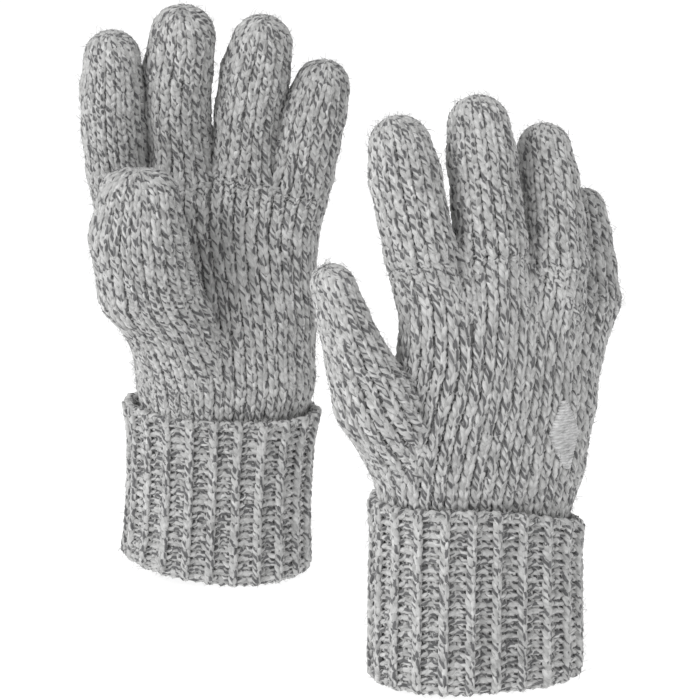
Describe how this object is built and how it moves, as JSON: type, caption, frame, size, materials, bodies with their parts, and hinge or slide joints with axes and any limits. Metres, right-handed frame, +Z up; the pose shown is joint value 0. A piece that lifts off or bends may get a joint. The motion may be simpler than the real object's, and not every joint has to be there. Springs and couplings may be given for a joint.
{
  "type": "pair of knitted winter gloves",
  "caption": "Pair of chunky marl knitted gloves with turned-up ribbed cuffs, standing upright, with fingers and thumbs that bend at their roots.",
  "frame": {"origin": "middle of the pair's footprint, on the surface that the cuffs stand on", "axes": "+Z up along the fingers, +X to the right of someone who faces the left glove's palm, -Y towards them"},
  "size_m": [0.2286, 0.2212, 0.2564],
  "materials": {
    "marl_yarn": "soft woollen stocking stitch, light grey marled with dark grey",
    "ribbed_marl_yarn": "the same yarn in one by one rib",
    "embroidery_yarn": "smooth pale grey embroidery thread"
  },
  "bodies": {
    "left_hand_body": {"left_hand": "marl_yarn", "left_wrist_rib": "ribbed_marl_yarn", "left_cuff": "ribbed_marl_yarn"},
    "right_hand_body": {"right_hand": "marl_yarn", "right_wrist_rib": "ribbed_marl_yarn", "right_cuff": "ribbed_marl_yarn", "right_motif": "embroidery_yarn"},
    "left_thumb_body": {"left_thumb": "marl_yarn"},
    "left_index_body": {"left_index_finger": "marl_yarn"},
    "left_middle_body": {"left_middle_finger": "marl_yarn"},
    "left_ring_body": {"left_ring_finger": "marl_yarn"},
    "left_little_body": {"left_little_finger": "marl_yarn"},
    "right_thumb_body": {"right_thumb": "marl_yarn"},
    "right_index_body": {"right_index_finger": "marl_yarn"},
    "right_middle_body": {"right_middle_finger": "marl_yarn"},
    "right_ring_body": {"right_ring_finger": "marl_yarn"},
    "right_little_body": {"right_little_finger": "marl_yarn"}
  },
  "joints": [
    {"name": "gloves_apart", "type": "slide", "parent": "left_hand_body", "child": "right_hand_body", "axis": [1, 0, 0], "range_m": [0, 0.15]},
    {"name": "left_thumb_bend", "type": "hinge", "parent": "left_hand_body", "child": "left_thumb_body", "pos_m": [-0.079, 0.0556, 0.119], "axis": [0.9883, 0, 0.1527], "range_deg": [0, 40]},
    {"name": "left_index_bend", "type": "hinge", "parent": "left_hand_body", "child": "left_index_body", "pos_m": [-0.098, 0.0806, 0.181], "axis": [0.9983, 0, 0.0576], "range_deg": [-10, 40]},
    {"name": "left_middle_bend", "type": "hinge", "parent": "left_hand_body", "child": "left_middle_body", "pos_m": [-0.0715, 0.0816, 0.19], "axis": [0.9996, 0, -0.0283], "range_deg": [-10, 50]},
    {"name": "left_ring_bend", "type": "hinge", "parent": "left_hand_body", "child": "left_ring_body", "pos_m": [-0.043, 0.0816, 0.19], "axis": [0.9885, 0, -0.1513], "range_deg": [-10, 50]},
    {"name": "left_little_bend", "type": "hinge", "parent": "left_hand_body", "child": "left_little_body", "pos_m": [-0.0185, 0.0816, 0.179], "axis": [0.9742, 0, -0.2257], "range_deg": [-10, 50]},
    {"name": "right_thumb_bend", "type": "hinge", "parent": "right_hand_body", "child": "right_thumb_body", "pos_m": [0.01128, -0.09426, 0.118], "axis": [-0.8886, -0.359, -0.2855], "range_deg": [-10, 40]},
    {"name": "right_index_bend", "type": "hinge", "parent": "right_hand_body", "child": "right_index_body", "pos_m": [0.02991, -0.08565, 0.179], "axis": [-0.9193, -0.3714, -0.1298], "range_deg": [-10, 50]},
    {"name": "right_middle_bend", "type": "hinge", "parent": "right_hand_body", "child": "right_middle_body", "pos_m": [0.05819, -0.07423, 0.179], "axis": [-0.9271, -0.3746, 0.0109], "range_deg": [-10, 50]},
    {"name": "right_ring_bend", "type": "hinge", "parent": "right_hand_body", "child": "right_ring_body", "pos_m": [0.08424, -0.06262, 0.17], "axis": [-0.924, -0.3733, 0.0831], "range_deg": [-10, 45]},
    {"name": "right_little_bend", "type": "hinge", "parent": "right_hand_body", "child": "right_little_body", "pos_m": [0.10239, -0.04882, 0.152], "axis": [-0.9187, -0.3712, 0.1351], "range_deg": [-10, 40]}
  ]
}
